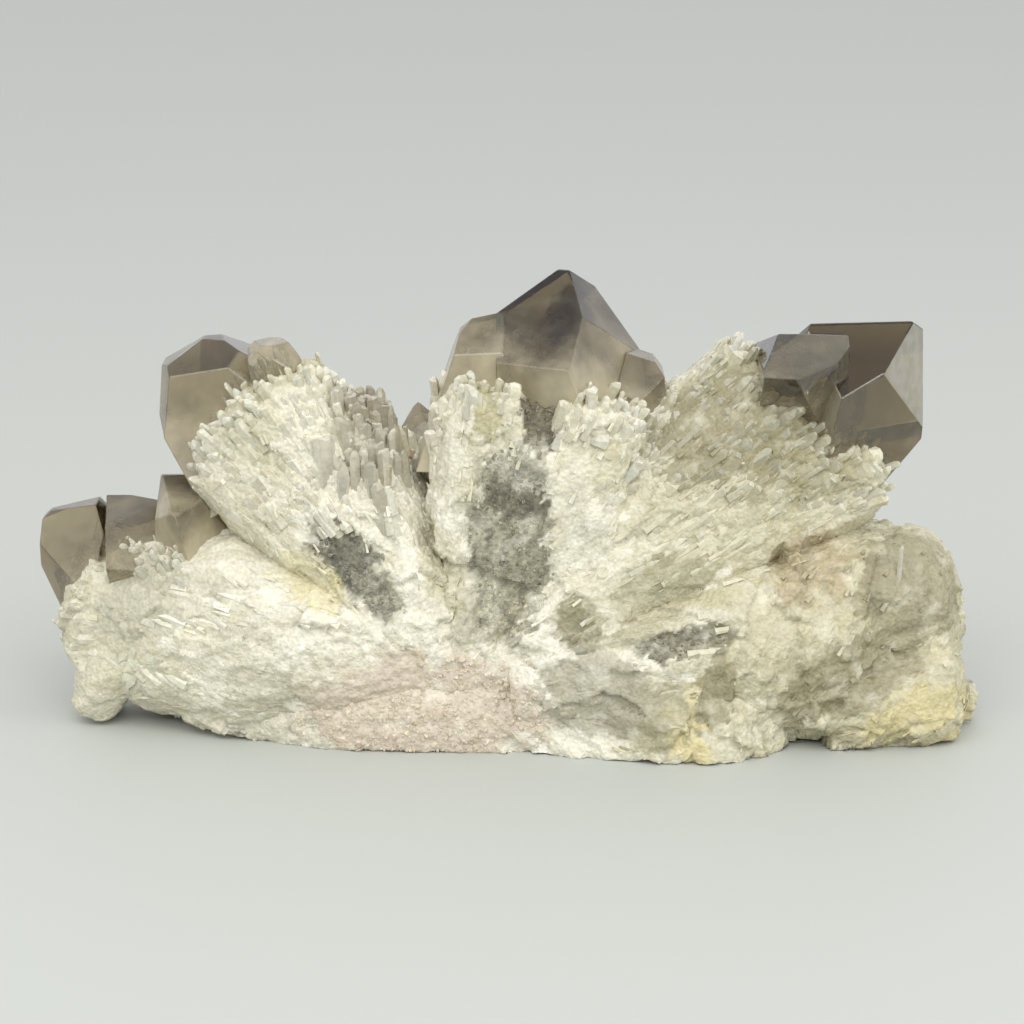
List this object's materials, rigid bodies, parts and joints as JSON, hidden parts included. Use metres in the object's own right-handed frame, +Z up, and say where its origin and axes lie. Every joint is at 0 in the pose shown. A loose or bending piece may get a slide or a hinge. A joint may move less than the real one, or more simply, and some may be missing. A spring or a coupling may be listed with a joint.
{
  "type": "smoky quartz cluster",
  "caption": "Smoky quartz cluster: large smoky crystals in fanning sheaths of small cream crystals on a grainy pinkish matrix",
  "frame": {"origin": "on the ground, under the middle of the cluster's bounding box", "axes": "+X to the right of the front, +Y away from the front, +Z up"},
  "size_m": [0.1564, 0.0578, 0.0742],
  "materials": {
    "crystal_sheath": "rough cream to greenish quartz made of small parallel crystals",
    "smoky_quartz": "clear smoky brown quartz with smooth faces",
    "matrix": "matt pinkish grainy rock"
  },
  "bodies": {
    "root": {"smoky_quartz_cluster": "crystal_sheath"}
  },
  "joints": []
}
